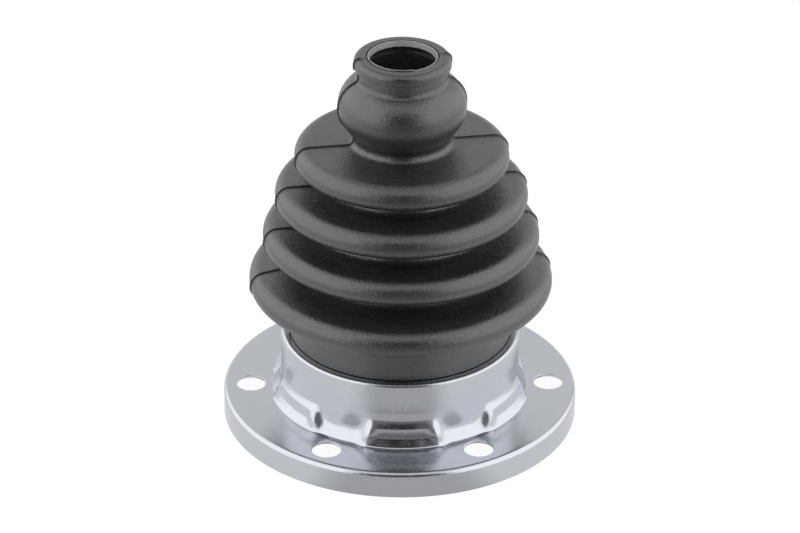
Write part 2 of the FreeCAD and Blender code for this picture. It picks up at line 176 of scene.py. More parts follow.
class FlangeSizes(bpy.types.PropertyGroup):
    """Sizes of the pressed steel flange."""
    sheet: length("Sheet", "Thickness of the steel sheet", 0.8)
    plate_top: length("Plate top", "Height of the bolting plate", 7.6)
    rim_round: length("Rim round", "Bend from the plate to the skirt", 1.5)
    collar_radius: length("Collar radius", "Outside of the collar", 34.3)
    lip_radius: length("Lip radius", "Inner edge of the turned lip", 32.15)
    lip_round: length("Lip round", "Bend from the collar to its lip", 1.1)
    flare_round: length("Flare round", "Round from the collar out to the plate", 5.0)
    flare_sink: length("Flare sink", "How far the flare runs on below the plate", 0.3)
    flare_foot: length("Flare foot", "From the collar to the round at the flare's foot", 2.6)
    foot_round: length("Foot round", "Tight round between flare and plate", 0.6)
    boss_top: length("Boss top", "Height of a boss over the plate", 7.6)
    boss_top_round: length("Boss top round", "Round where a boss meets the collar", 0.4)
    boss_face: length("Boss face radius", "Upper edge of a boss's steep face", 35.7)
    boss_face_lean: length("Boss face lean", "How far the face runs out to its lower edge", 0.3)
    boss_face_top: length("Boss face top", "Upper edge of the face over the plate", 5.0)
    boss_edge: length("Boss edge", "Round on the face's upper edge", 1.0)
    boss_face_bottom: length("Boss face bottom", "Lower edge of the face", 2.6)
    boss_face_round: length("Boss face round", "Round on the face's lower edge", 0.5)
    boss_pillow: length("Boss pillow", "Radius of a boss's swelling at its ends", 37.2)
    boss_pillow_round: length("Boss pillow round", "Round of that swelling", 3.0)
    boss_foot: length("Boss foot radius", "Where a boss meets the plate", 38.0)
    boss_foot_round: length("Boss foot round", "Round at a boss's foot", 0.9)
    boss_width: length("Boss width", "Width of a boss at the collar", 25.2)
    boss_foot_width: length("Boss foot width", "Width of a boss at its foot", 20.4)
    boss_lean: length("Boss lean", "Narrowing of each end over the boss's height", 3.9)
    boss_swell: shares("Boss swelling", "Where on a boss's half width it starts and is full",
                       (0.45, 0.9))
    boss_end_share: share("Boss end share", "Wall at a boss's ends, in sheets", 1.25)
    boss_softness: length("Boss softness", "Softening of a boss's ends", 1.2)
    hole_edge: length("Hole edge", "Broken edge of a bolt hole", 0.12)
    bend_step: angle_of("Bend step", "Turn between points of the bends", 8)
    row_length: length("Row length", "Between rows of points on straight stretches", 1.2)


class Finishes(bpy.types.PropertyGroup):
    """Colours, grain and gloss of the two materials, and the colour of the floor."""
    rubber: colour("Rubber", "Carbon-black rubber", "#262626")
    # The mouth's wall is painted pale: a painted highlight where it catches the light.
    painted_mouth_highlight: colour("Cut rubber", "Knife-trimmed wall of the mouth", "#a8a8a8")
    rubber_waves: lengths("Rubber waves", "Width and depth of the skin's waves", (5, 0.03))
    peel: lengths("Orange peel", "Width and depth of its bumps, as drawn", (0.45, 0.13))
    rubber_index: share("Rubber index", "Refractive index of the skin", 2.0)
    rubber_gloss: share("Rubber gloss", "Specular level of the skin", 0.5)
    rubber_patch: length("Rubber patch", "Width of duller and glossier patches", 3)
    rubber_rough: shares("Rubber roughness", "Least and most of it", (0.24, 0.32))
    torn_gloss: share("Torn gloss", "Specular level of the torn moulding line", 0.06)
    torn_edge: lengths("Torn edge", "Half widths where it is dull and where it ends",
                       (0.1, 0.26))
    steel: colour("Zinc", "Bright zinc plating", "#cacdd3")
    sheet_waves: lengths("Sheet waves", "Width and depth of the sheet's waves", (6, 0.03))
    streaks: lengths("Streaks", "Width and depth of the streaks, as drawn", (0.22, 0.02))
    streak_length: share("Streak length", "Length of a streak in widths", 20)
    streak_rough: share("Streak roughness", "More or less rough along a streak", 0.04)
    streak_free: lengths("Streak free", "Off the plate, where streaks start and are full",
                         (0.3, 1.2))
    zinc_patch: length("Zinc patch", "Width of duller and brighter patches", 2)
    zinc_rough: shares("Zinc roughness", "Least and most of it", (0.18, 0.26))
    paper: colour("Paper", "Studio floor", "#f4f4f4")


# Outlines: a section of radius and height, wrapped round its marks like a belt.

def corner(radius, height):
    return {"at": (radius, height), "size": 0.0, "turn": 0}


def bend(radius, height, size, turn):
    """A round given by its centre. turn is 1 where the outline bends left and -1 for right."""
    return {"at": (radius, height), "size": size, "turn": turn}


def inset(mark, amount):
    """The same mark on an outline drawn further in by amount."""
    return {**mark, "size": mark["size"] - mark["turn"] * amount}


def turned_back(mark):
    """The same mark on an outline drawn the other way."""
    return {**mark, "turn": -mark["turn"]}


def belt_ends(start, end):
    """Ends of the straight that leaves one mark and reaches the next."""
    reach_start, reach_end = (mark["turn"] * mark["size"] for mark in (start, end))
    across, rise = (b - a for a, b in zip(start["at"], end["at"]))
    lean = (reach_start - reach_end) / math.hypot(across, rise)
    heading = math.atan2(rise, across) - math.acos(max(-1.0, min(lean, 1.0)))
    side = (math.cos(heading), math.sin(heading))
    return (tuple(a + s * reach_start for a, s in zip(start["at"], side)),
            tuple(a + s * reach_end for a, s in zip(end["at"], side)))


def sweep(mark, entry, leave, step):
    """Points along a round, from where the outline meets it to where it leaves it."""
    first, last = (math.atan2(point[1] - mark["at"][1], point[0] - mark["at"][0])
                   for point in (entry, leave))
    turned = (last - first) * mark["turn"] % math.tau
    if turned > math.tau - TINY:
        turned = 0.0
    count = max(1, round(turned / step))
    angles = [first + mark["turn"] * turned * index / count for index in range(count + 1)]
    return [(mark["at"][0] + mark["size"] * math.cos(angle),
             mark["at"][1] + mark["size"] * math.sin(angle)) for angle in angles]


def outline(marks, step):
    """Points of an open outline from its first mark to its last, which are corners."""
    ends = [belt_ends(start, end) for start, end in zip(marks, marks[1:])]
    points = [marks[0]["at"]]
    for index, mark in enumerate(marks[1:-1], start=1):
        if mark["turn"]:
            points += sweep(mark, ends[index - 1][1], ends[index][0], step)
        else:
            points.append(mark["at"])
    return points + [marks[-1]["at"]]


def evenly(points, count):
    """The same line as count points, evenly spaced along it."""
    ways = [math.dist(a, b) for a, b in zip(points, points[1:])]
    total, result, index, passed = sum(ways), [], 0, 0.0
    for place in range(count):
        aim = total * place / (count - 1)
        while index < len(ways) - 1 and passed + ways[index] < aim:
            passed += ways[index]
            index += 1
        part = min(1.0, (aim - passed) / ways[index])
        result.append(tuple(a + (b - a) * part for a, b in zip(points[index], points[index + 1])))
    return result


def raised(points, amount, fade):
    """The same outline drawn further out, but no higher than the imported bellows. It is
    drawn out in full from the larger radius of the fade, and not at all within the other."""
    result = []
    for index, (radius, height) in enumerate(points):
        before, after = points[max(index - 1, 0)], points[min(index + 1, len(points) - 1)]
        across, rise = (b - a for a, b in zip(before, after))
        part = max(0.0, min(1.0, (radius - fade[0]) / (fade[1] - fade[0])))
        part *= amount / math.hypot(across, rise)
        result.append((radius + rise * part, min(height - across * part, BELLOWS_HIGH.z)))
    return result


def split_long(points, longest):
    """The same outline with no straight longer than a limit."""
    result = [points[0]]
    for start, end in zip(points, points[1:]):
        parts = max(1, math.ceil(math.dist(start, end) / longest))
        result += [tuple(a + (b - a) * index / parts for a, b in zip(start, end))
                   for index in range(1, parts + 1)]
    return result


# Rings: one loop of vertices is pulled out into a skin, ring after ring.

def deselect():
    if bpy.context.object and bpy.context.object.mode != "OBJECT":
        bpy.ops.object.mode_set(mode="OBJECT")
    bpy.ops.object.select_all(action="DESELECT")


def pick(*pieces):
    """Select the pieces in object mode. The last one is the active one."""
    deselect()
    for piece in pieces:
        piece.select_set(True)
    bpy.context.view_layer.objects.active = pieces[-1]


def start_ring(name, points):
    """A loop with its vertices on the points, in edit mode and selected."""
    deselect()
    bpy.ops.mesh.primitive_circle_add(vertices=len(points), radius=MM)
    piece = bpy.context.object
    piece.name = piece.data.name = name
    for vertex, point in zip(piece.data.vertices, points):
        vertex.co = point
    bpy.ops.object.mode_set(mode="EDIT")
    bpy.ops.mesh.select_mode(type="VERT")
    bpy.ops.mesh.select_all(action="SELECT")
    return piece


def next_ring(piece, before, points):
    """Extrude the selected loop, whose places are before, and put it on the points."""
    bpy.ops.mesh.extrude_edges_move()
    bpy.ops.object.mode_set(mode="OBJECT")
    places = kdtree.KDTree(len(before))
    for index, place in enumerate(before):
        places.insert(place, index)
    places.balance()
    for vertex in piece.data.vertices:
        if vertex.select:
            vertex.co = points[places.find(vertex.co)[1]]
    bpy.ops.object.mode_set(mode="EDIT")


def turned_copies(count):
    """Copy all of the mesh in edit mode round the axis until there are so many of it."""
    bpy.ops.mesh.select_all(action="SELECT")
    for _ in range(count - 1):
        bpy.ops.mesh.duplicate()
        bpy.ops.transform.rotate(value=math.tau / count, orient_axis="Z",
                                 center_override=(0, 0, 0))


def close_seams():
    bpy.ops.mesh.select_all(action="SELECT")
    bpy.ops.mesh.remove_doubles(threshold=SEAM_GAP)
    bpy.ops.mesh.normals_make_consistent(inside=False)
    bpy.ops.object.mode_set(mode="OBJECT")


def smooth(piece):
    pick(piece)
    bpy.ops.object.shade_smooth_by_angle(angle=SMOOTH_ANGLE)


def polar(radius, height, angle):
    return (radius * math.cos(angle), radius * math.sin(angle), height)


# Rubber bellows.

def bellows_levels(size):
    """Heights of the folds from the small end down, of the bulb and of the lip's top."""
    height, folds = FLANGE_HIGH.z, []
    for pitch in reversed(size.fold_pitch):
        height += pitch
        folds.insert(0, height)
    bulb = folds[0] + size.bulb_pitch
    return folds, bulb, bulb + size.lip_pitch


def fold_marks(size):
    """Neck, folds and waist from the bottom up."""
    folds, _, _ = bellows_levels(size)
    half = size.fold_band / 2
    marks = [bend(size.neck_radius + size.neck_round, FLANGE_HIGH.z + size.neck_height,
                  size.neck_round, -1)]
    for fold in reversed(range(len(folds))):
        radius, height = size.fold_radius[fold], folds[fold]
        lower, upper = size.fold_lower[fold], size.fold_upper[fold]
        valley = size.valley_round[fold]
        top = height + half + upper + size.fold_slope[fold]
        marks += [bend(radius - lower, height - half, lower, 1),
                  bend(radius - upper, height + half, upper, 1),
                  bend(size.valley_radius[fold] + valley, top + valley, valley, -1)]
    return marks


def skin_marks(size):
    """Outer skin from the lower edge of the neck to the inner edge of the lip's top."""
    _, bulb, top = bellows_levels(size)
    lip_bottom, groove = top - size.lip_height, MOUNTS["clamp_groove"]["r_mm"] * MM
    top -= size.flash_height
    centre, shoulder = size.bulb_radius - size.bulb_round, size.shoulder_round
    rise = math.sqrt((size.bulb_round + shoulder) ** 2 - (groove + shoulder - centre) ** 2)
    edge = size.neck_edge
    return [
        corner(size.neck_radius - 2 * edge, FLANGE_HIGH.z + size.groove_gap),
        bend(size.neck_radius - edge, FLANGE_HIGH.z + size.groove_gap + edge, edge, 1),
        *fold_marks(size),
        bend(centre, bulb, size.bulb_round, 1),
        bend(groove + shoulder, bulb + rise, shoulder, -1),
        bend(groove + size.clamp_round, lip_bottom - size.clamp_round, size.clamp_round, -1),
        bend(size.lip_radius - size.lip_under, lip_bottom + size.lip_under, size.lip_under, 1),
        bend(size.lip_radius - size.lip_round, top - size.lip_round, size.lip_round, 1),
        corner(size.mouth_radius + CREASE[0][0] * size.mouth_crease, top),
    ]


def hidden_marks(size, sheet):
    """The rest of the section, from the crease at the mouth down inside and round the foot,
    which hangs under a collar lip as thick as the sheet."""
    _, bulb, top = bellows_levels(size)
    lip_top = top - size.flash_height
    bore, recess = MOUNTS["shaft_bore"]["r_mm"] * MM, size.recess_radius
    centre, inner = size.bulb_radius - size.bulb_round, size.bulb_round - size.bulb_wall
    recess_top = lip_top - size.mouth_depth
    recess_bottom = recess_top - size.recess_width
    foot_top, bottom = FLANGE_HIGH.z - sheet, BELLOWS_LOW.z
    foot, neck = size.foot_radius - size.foot_edge, size.neck_radius - 2 * size.neck_edge
    crease = [corner(size.mouth_radius + out * size.mouth_crease,
                     lip_top - deep * size.mouth_crease) for out, deep in CREASE]
    inside = [turned_back(inset(mark, size.wall)) for mark in reversed(fold_marks(size))]
    return [
        *crease,
        corner(size.mouth_radius, lip_top),
        corner(size.mouth_throat, recess_top),
        corner(recess, recess_top),
        corner(recess, recess_bottom),
        corner(bore, recess_bottom),
        corner(bore, bulb + math.sqrt(inner ** 2 - (bore - centre) ** 2)),
        turned_back(bend(centre, bulb, inner, 1)),
        *inside,
        corner(size.neck_radius - size.wall, bottom),
        bend(foot, bottom + size.foot_edge, size.foot_edge, 1),
        bend(foot, foot_top - size.foot_edge, size.foot_edge, 1),
        corner(neck, foot_top),
        corner(neck, FLANGE_HIGH.z + size.groove_gap),
    ]


def section_ring(size, sheet, proud, half_width, angle):
    """The bellows' section as a ring of points. Those of the outer skin stand proud, and
    all stand a half width aside from the plane at the angle."""
    skin = raised(outline(skin_marks(size), size.skin_step), proud,
                  (size.ridge_end, size.ridge_full))
    hidden = outline(hidden_marks(size, sheet), size.hidden_step)[1:-1]
    return [polar(radius, height, angle + math.asin(half_width / radius))
            for radius, height in [*skin, *hidden]]


class BOOT_OT_bellows(bpy.types.Operator):
    """Rubber bellows: half of the section's turn is spun between two moulding lines"""
    bl_idname = "boot.bellows"
    bl_label = "Rubber Bellows"

    def execute(self, context):
        size, sheet = context.scene.boot_bellows, context.scene.boot_flange.sheet
        half, crest = size.ridge_width / 2, size.ridge_crest / 2
        turn, step = size.ridge_turn, size.spin_step
        rings = [section_ring(size, sheet, proud, aside, angle) for proud, aside, angle in (
            (0.0, -half, turn), (size.ridge_height, -crest, turn),
            (size.ridge_height, crest, turn), (0.0, half, turn), (0.0, 0.0, turn + step))]
        piece = start_ring("bellows", rings[0])
        for before, ring in zip(rings, rings[1:]):
            next_ring(piece, before, ring)
        # A spin by a negative angle turns the same way as the rings above.
        spun = math.pi - 2 * step
        bpy.ops.mesh.spin(steps=round(spun / step), angle=-spun, axis=(0, 0, 1),
                          center=(0, 0, 0))
        last = section_ring(size, sheet, 0.0, 0.0, turn + math.pi - step)
        next_ring(piece, last, section_ring(size, sheet, 0.0, -half, turn + math.pi))
        turned_copies(2)
        close_seams()
        add_flash(piece, size)
        smooth(piece)
        piece.data.materials.append(rubber_material(context.scene.boot_finishes, size))
        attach(piece, BODY)
        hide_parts("rubber_bellows")
        return {"FINISHED"}


def add_flash(piece, size):
    """A thin strip of flash round the mouth that rises out of the lip over the first quarter
    of its way and is cut off square. It is joined to the piece."""
    first, last = size.flash_from, size.flash_to
    wide, high = size.flash_width, size.flash_height
    steps, root = round((last - first) / size.spin_step), -3 * high
    rings = []
    for step in range(steps + 1):
        rise = (2 * min(1.0, 4 * step / steps) - 1) * high
        # The section from its root up, with slanting sides and a narrow flat top.
        section = ((0.0, root), (wide, root), (wide, min(rise, 0.0) - high),
                   (wide * 0.8, rise * 0.6), (wide * 0.5, rise), (wide * 0.2, rise),
                   (0.0, rise - high * 0.4))
        rings.append([polar(size.mouth_radius + out, BELLOWS_HIGH.z - high + up,
                            first + (last - first) * step / steps) for out, up in section])
    strip = start_ring("flash", rings[0])
    bpy.ops.mesh.edge_face_add()
    for before, ring in zip(rings, rings[1:]):
        next_ring(strip, before, ring)
    bpy.ops.mesh.edge_face_add()
    close_seams()
    pick(strip, piece)
    bpy.ops.object.join()


# Steel flange.

def flange_marks(size, depth, place):
    """Section of the flange from the skirt's lower edge up to the lip's inner edge, drawn
    in by a depth, at a place: the middle of a boss, the end of a boss or beside it."""
    plate, collar, top = size.plate_top, size.collar_radius, FLANGE_HIGH.z
    skirt = FLANGE_HIGH.x
    foot = bend(size.boss_foot, plate + size.boss_foot_round, size.boss_foot_round, -1)
    head = bend(collar + size.boss_top_round, plate + size.boss_top, size.boss_top_round, -1)
    if place == "end":
        middle = [foot, bend(size.boss_pillow - size.boss_pillow_round,
                             plate + size.boss_face_bottom, size.boss_pillow_round, 1), head]
    elif place == "middle":
        middle = [
            foot,
            bend(size.boss_face + size.boss_face_lean + size.boss_face_round,
                 plate + size.boss_face_bottom, size.boss_face_round, -1),
            bend(size.boss_face - size.boss_edge, plate + size.boss_face_top, size.boss_edge, 1),
            head,
        ]
    else:
        middle = [
            bend(collar + size.flare_foot, plate + size.foot_round, size.foot_round, -1),
            bend(collar + size.flare_round, plate + size.flare_round - size.flare_sink,
                 size.flare_round, -1),
        ]
    rounds = [
        bend(skirt - size.rim_round, plate - size.rim_round, size.rim_round, 1),
        *middle,
        bend(collar - size.lip_round, top - size.lip_round, size.lip_round, 1),
    ]
    return [corner(skirt - depth, FLANGE_LOW.z), *[inset(mark, depth) for mark in rounds],
            corner(size.lip_radius, top - depth)]


def radius_at(points, height):
    """Radius of an outline where it passes a height on its way up."""
    for low, high in zip(points, points[1:]):
        if low[1] <= height <= high[1] and high[1] > low[1]:
            part = (height - low[1]) / (high[1] - low[1])
            return low[0] + (high[0] - low[0]) * part
    return points[-1][0]


def soft_least(first, second, softness):
    """The lesser of two lengths, with the corner between them rounded."""
    blend = max(softness - abs(first - second), 0.0) / softness
    return min(first, second) - blend * blend * softness / 4


def flange_side(size, depth, angles):
    """One side of the sheet as a row of points for each angle from a bolt hole."""
    plate, step = size.plate_top - depth, size.bend_step
    plain = outline(flange_marks(size, depth, "beside"), step)
    boss = outline(flange_marks(size, depth, "middle"), step)
    swollen = outline(flange_marks(size, depth, "end"), step)
    level = plate - TINY * MM
    rim_end = next(index for index, point in enumerate(boss) if point[1] > level)
    rim, rising = boss[:rim_end + 1], split_long(boss[rim_end + 1:], size.row_length)
    above = [point for point in plain if point[1] > level]
    # A boss narrows outwards by its slant and upwards by its lean.
    slant = (size.boss_width - size.boss_foot_width) / 2 / (size.boss_foot - size.collar_radius)
    lean = size.boss_lean / size.boss_top
    half = size.boss_width / 2 - depth * size.boss_end_share
    clear, (calm, full) = size.boss_foot + size.row_length, size.boss_swell
    sides = []
    for angle in angles:
        away = math.radians(HALF_PITCH) - angle
        risen = []
        swell = 2 * size.collar_radius * away / size.boss_width
        swell = max(0.0, min(1.0, (swell - calm) / (full - calm)))
        swell *= swell * (3 - 2 * swell)   # starts and ends softly
        for radius, height in rising:
            if height < size.plate_top + size.boss_top + size.boss_edge:
                if height > size.plate_top + size.boss_foot_round / 2:
                    radius += (radius_at(swollen, height) - radius) * swell
                end = half - lean * (height - size.plate_top) + slant * size.collar_radius
                end /= math.sin(away) + slant * math.cos(away)
                least = soft_least(radius, end, size.boss_softness)
                radius = -soft_least(-least, -radius_at(above, height), size.boss_softness)
            risen.append((radius, height))
        plate_rows = [(rim[-1][0] - size.row_length / 4, plate),
                      *evenly([(rim[-1][0] - size.row_length, plate), (clear, plate)],
                              PLATE_ROWS),
                      *evenly([(clear, plate), risen[0]], FOOT_ROWS)[1:-1]]
        sides.append([polar(radius, height, angle)
                      for radius, height in [*rim, *plate_rows, *risen]])
    return sides


class BOOT_OT_flange(bpy.types.Operator):
    """Steel flange: rings from a bolt hole to the middle of a boss, mirrored and copied"""
    bl_idname = "boot.flange"
    bl_label = "Steel Flange"

    def execute(self, context):
        size = context.scene.boot_flange
        angles = stations(RING_STRETCHES)
        outer = flange_side(size, 0.0, angles)
        inner = flange_side(size, size.sheet, angles)
        rings = [[*above, *reversed(below)] for above, below in zip(outer, inner)]
        piece = start_ring("flange", rings[0])
        for before, ring in zip(rings, rings[1:]):
            next_ring(piece, before, ring)
        bpy.ops.mesh.select_all(action="SELECT")
        bpy.ops.mesh.duplicate()
        bpy.ops.transform.mirror(orient_type="GLOBAL", constraint_axis=(False, True, False),
                                 center_override=(0, 0, 0))
        turned_copies(BOLTS["count"])
        close_seams()
        cut_holes(piece, size)
        smooth(piece)
        piece.data.materials.append(zinc_material(context.scene.boot_finishes, size.plate_top))
        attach(piece, BODY)
        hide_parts("steel_flange")
        return {"FINISHED"}


def stations(stretches):
    """Angles in radians from stretches of (first degree, last degree, steps)."""
    angles = [math.radians(stretches[0][0])]
    for first, last, steps in stretches:
        angles += [math.radians(first + (last - first) * step / steps)
                   for step in range(1, steps + 1)]
    return angles


def cut_holes(piece, size):
    """Bolt holes with a broken edge above and below, cut by one waisted pin each."""
    radius, circle = BOLTS["hole_r_mm"] * MM, BOLTS["pcd_mm"] / 2 * MM
    edge, middle = size.hole_edge, size.plate_top - size.sheet / 2
    deselect()
    bpy.ops.mesh.primitive_cylinder_add(vertices=HOLE_SIDES, radius=radius,
                                        depth=size.sheet - 2 * edge,
                                        location=(circle, 0, middle))
    cutter = bpy.context.object
    bpy.ops.object.transform_apply()
    bpy.ops.object.mode_set(mode="EDIT")
    bpy.ops.mesh.select_mode(type="FACE")
    for up in (1, -1):
        bpy.ops.mesh.select_all(action="DESELECT")
        bpy.ops.object.mode_set(mode="OBJECT")
        for face in cutter.data.polygons:   # only an end faces straight up or down
            face.select = face.normal.z * up > 0.9
        bpy.ops.object.mode_set(mode="EDIT")
        bpy.ops.mesh.extrude_region_move(TRANSFORM_OT_translate={"value": (0, 0, up * edge)})
        grow = 1 + edge / radius
        bpy.ops.transform.resize(value=(grow, grow, 1), center_override=(circle, 0, middle))
        bpy.ops.mesh.extrude_region_move(
            TRANSFORM_OT_translate={"value": (0, 0, up * size.sheet)})
    turned_copies(BOLTS["count"])
    bpy.ops.mesh.select_all(action="SELECT")
    bpy.ops.mesh.normals_make_consistent(inside=False)
    pick(piece)
    cut = piece.modifiers.new("bolt_holes", "BOOLEAN")
    cut.operation = "DIFFERENCE"
    cut.solver = "EXACT"
    cut.object = cutter
    bpy.ops.object.modifier_apply(modifier=cut.name)
    bpy.data.objects.remove(cutter, do_unlink=True)


# Materials.

def node(tree, kind, settings=None, inputs=None):
    """Add a shader node with its settings. An input is a value, a socket to link, or a node
    whose first output in use is linked."""
    item = tree.nodes.new("ShaderNode" + kind)
    for name, value in (settings or {}).items():
        setattr(item, name, value)
    for name, value in (inputs or {}).items():
        if isinstance(value, bpy.types.Node):
            value = next(output for output in value.outputs if output.enabled)
        if isinstance(value, bpy.types.NodeSocket):
            tree.links.new(value, item.inputs[name])
        else:
            item.inputs[name].default_value = value
    return item


def new_material(name):
    """An empty material and its node tree."""
    material = bpy.data.materials.new(name)
    material.use_nodes = True
    tree = material.node_tree
    tree.nodes.clear()
    return material, tree


def grain(tree, size, detail, tall=1.0):
    """Noise on object coordinates whose bumps are about one size across, and tall times as
    high as they are wide."""
    place = node(tree, "TexCoord").outputs["Object"]
    place = node(tree, "VectorMath", {"operation": "MULTIPLY"}, {0: place, 1: (1, 1, 1 / tall)})
    return node(tree, "TexNoise", inputs={"Vector": place, "Scale": 1 / size, "Detail": detail})


def rubber_material(finishes, size):
    """Moulded black rubber: a satin skin with the fine orange peel of the spark-eroded
    mould and a faint waviness from shrinkage. The mouth's wall is cut by knife and is
    painted pale: a painted highlight where it catches the light. The torn edge of the
    moulding line is dull."""
    # Where the mouth's wall is painted pale, as a painted highlight.
    highlight_radius = size.mouth_radius + size.mouth_crease / 2
    highlight_height = BELLOWS_HIGH.z - size.flash_height - size.mouth_depth
    across = (-math.sin(size.ridge_turn), math.cos(size.ridge_turn), 0)
    (wave_width, wave_depth), (peel_width, peel_depth) = finishes.rubber_waves, finishes.peel
    material, tree = new_material("black_rubber")
    waves = node(tree, "Bump", inputs={
        "Height": grain(tree, wave_width, 1.0), "Distance": wave_depth})
    # Real peel is about 0.1 mm wide, too fine to show, so it is drawn coarser.
    peel = node(tree, "Bump", inputs={
        "Height": grain(tree, peel_width, 1.0), "Distance": peel_depth, "Normal": waves})
    place = node(tree, "TexCoord").outputs["Object"]
    flat = node(tree, "VectorMath", {"operation": "MULTIPLY"}, {0: place, 1: (1, 1, 0)})
    radius = node(tree, "VectorMath", {"operation": "LENGTH"}, {0: flat})
    height = node(tree, "SeparateXYZ", inputs={0: place}).outputs["Z"]
    within = node(tree, "Math", {"operation": "LESS_THAN"}, {0: radius, 1: highlight_radius})
    above = node(tree, "Math", {"operation": "GREATER_THAN"}, {0: height, 1: highlight_height})
    cut = node(tree, "Math", {"operation": "MULTIPLY"}, {0: within, 1: above})
    # The mouth's wall takes the pale colour, a painted highlight on the black rubber.
    # A mix node's inputs 6 and 7 are the ones for colours.
    shade = node(tree, "Mix", {"data_type": "RGBA"}, {
        "Factor": cut, 6: (*finishes.rubber, 1), 7: (*finishes.painted_mouth_highlight, 1)})
    aside = node(tree, "VectorMath", {"operation": "DOT_PRODUCT"}, {0: place, 1: across})
    aside = node(tree, "Math", {"operation": "ABSOLUTE"}, {0: aside})
    gloss = node(tree, "MapRange", inputs={
        "Value": aside, "From Min": finishes.torn_edge[0], "From Max": finishes.torn_edge[1],
        "To Min": finishes.torn_gloss, "To Max": finishes.rubber_gloss})
    outside = node(tree, "Math", {"operation": "GREATER_THAN"}, {0: radius, 1: size.ridge_full})
    gloss = node(tree, "Mix", inputs={"Factor": outside, "A": finishes.rubber_gloss, "B": gloss})
    rough = node(tree, "MapRange", inputs={
        "Value": grain(tree, finishes.rubber_patch, 2.0), "From Min": NOISE_LOW,
        "From Max": NOISE_HIGH, "To Min": finishes.rubber_rough[0],
        "To Max": finishes.rubber_rough[1]})
    shader = node(tree, "BsdfPrincipled", inputs={
        "Base Color": shade, "Normal": peel, "IOR": finishes.rubber_index,
        "Specular IOR Level": gloss, "Roughness": rough})
    node(tree, "OutputMaterial", inputs={"Surface": shader})
    return material


def zinc_material(finishes, flat_height):
    """Bright zinc plating on pressed sheet: slightly bluish, with the fine upright streaks
    of the drawing press, except on the flat plate, and the faint unevenness of rolled
    sheet."""
    wave_width, wave_depth = finishes.sheet_waves
    streak_width, streak_depth = finishes.streaks
    material, tree = new_material("zinc_plated_steel")
    waves = node(tree, "Bump", inputs={
        "Height": grain(tree, wave_width, 1.0), "Distance": wave_depth})
    # Real streaks are under 0.1 mm wide, too fine to show, so they are drawn coarser.
    streaks = grain(tree, streak_width, 2.0, finishes.streak_length)
    height = node(tree, "SeparateXYZ", inputs={
        0: node(tree, "TexCoord").outputs["Object"]}).outputs["Z"]
    off = node(tree, "Math", {"operation": "SUBTRACT"}, {0: height, 1: flat_height})
    off = node(tree, "Math", {"operation": "ABSOLUTE"}, {0: off})
    steep = node(tree, "MapRange", inputs={
        "Value": off, "From Min": finishes.streak_free[0], "From Max": finishes.streak_free[1]})
    drawn = node(tree, "Bump", inputs={
        "Height": streaks, "Strength": steep, "Distance": streak_depth, "Normal": waves})
    patches = node(tree, "MapRange", inputs={
        "Value": grain(tree, finishes.zinc_patch, 3.0), "From Min": NOISE_LOW,
        "From Max": NOISE_HIGH, "To Min": finishes.zinc_rough[0],
        "To Max": finishes.zinc_rough[1]})
    along = node(tree, "MapRange", inputs={
        "Value": streaks, "From Min": NOISE_LOW, "From Max": NOISE_HIGH,
        "To Min": -finishes.streak_rough, "To Max": finishes.streak_rough})
    rough = node(tree, "Math", {"operation": "ADD"}, {0: patches, 1: along})
    shader = node(tree, "BsdfPrincipled", inputs={
        "Base Color": (*finishes.steel, 1), "Metallic": 1.0, "Normal": drawn,
        "Roughness": rough})
    node(tree, "OutputMaterial", inputs={"Surface": shader})
    return material


# Stage.

def add_softbox(name, low, high, facing, brightness):
    """An upright lamp of even brightness between two corners, where 1 is as bright as
    white paper. It faces the given way."""
    low, high = Vector(low), Vector(high)
    middle, wide, tall = (low + high) / 2, (high - low).to_2d().length, high.z - low.z
    deselect()
    bpy.ops.object.light_add(type="AREA", location=middle,
                             rotation=Vector(facing).to_track_quat("-Z", "Y").to_euler())
    lamp = bpy.context.object
    lamp.name = name
    lamp.data.shape = "RECTANGLE"
    lamp.data.size, lamp.data.size_y = wide, tall
    lamp.data.energy = brightness * math.pi * wide * tall
    return lamp


def add_camera(settings):
    turn, rise, roll = settings.camera_azimuth, settings.camera_elevation, settings.camera_roll
    back = Vector((math.sin(turn) * math.cos(rise), -math.cos(turn) * math.cos(rise),
                   math.sin(rise)))
    right = Vector((math.cos(turn), math.sin(turn), 0))
    up = back.cross(right)
    across = right * math.cos(roll) + up * math.sin(roll)
    above = up * math.cos(roll) - right * math.sin(roll)
    place = right * settings.aim_side + Vector((0, 0, settings.aim_height))
    place += back * settings.camera_distance
    deselect()
    bpy.ops.object.camera_add()
    camera = bpy.context.object
    camera.matrix_world = Matrix.Translation(place) @ Matrix(
        (across, above, back)).transposed().to_4x4()
    camera.data.lens = settings.camera_lens
    bpy.context.scene.camera = camera


def floor_material(finishes, settings):
    """White sweep: it glows by itself, and only near the boot does it take a shadow. In
    reflections it is darker towards the camera, where no lamp lights it."""
    material, tree = new_material("white_sweep")
    place = node(tree, "TexCoord").outputs["Object"]
    away = node(tree, "VectorMath", {"operation": "LENGTH"}, {0: place})
    shaded = node(tree, "MapRange", {"interpolation_type": "SMOOTHSTEP"}, {
        "Value": away, "From Min": settings.shadow_radius[0],
        "From Max": settings.shadow_radius[1], "To Min": settings.shadow, "To Max": 0.0})
    heading = node(tree, "VectorMath", {"operation": "NORMALIZE"}, {0: place})
    front = node(tree, "VectorMath", {"operation": "DOT_PRODUCT"}, {0: heading, 1: (0, -1, 0)})
    seen = node(tree, "MapRange", {"interpolation_type": "SMOOTHSTEP"}, {
        "Value": front, "From Min": settings.front_cosine[0],
        "From Max": settings.front_cosine[1], "To Min": settings.floor_sides,
        "To Max": settings.floor_front})
    strength = node(tree, "Mix", inputs={
        "Factor": node(tree, "LightPath").outputs["Is Glossy Ray"],
        "A": settings.floor_glow, "B": seen})
    white = node(tree, "Emission", inputs={"Color": (1, 1, 1, 1), "Strength": strength})
    paper = node(tree, "BsdfDiffuse", inputs={"Color": (*finishes.paper, 1)})
    mixed = node(tree, "MixShader", inputs={0: shaded, 1: white, 2: paper})
    node(tree, "OutputMaterial", inputs={"Surface": mixed})
    return material


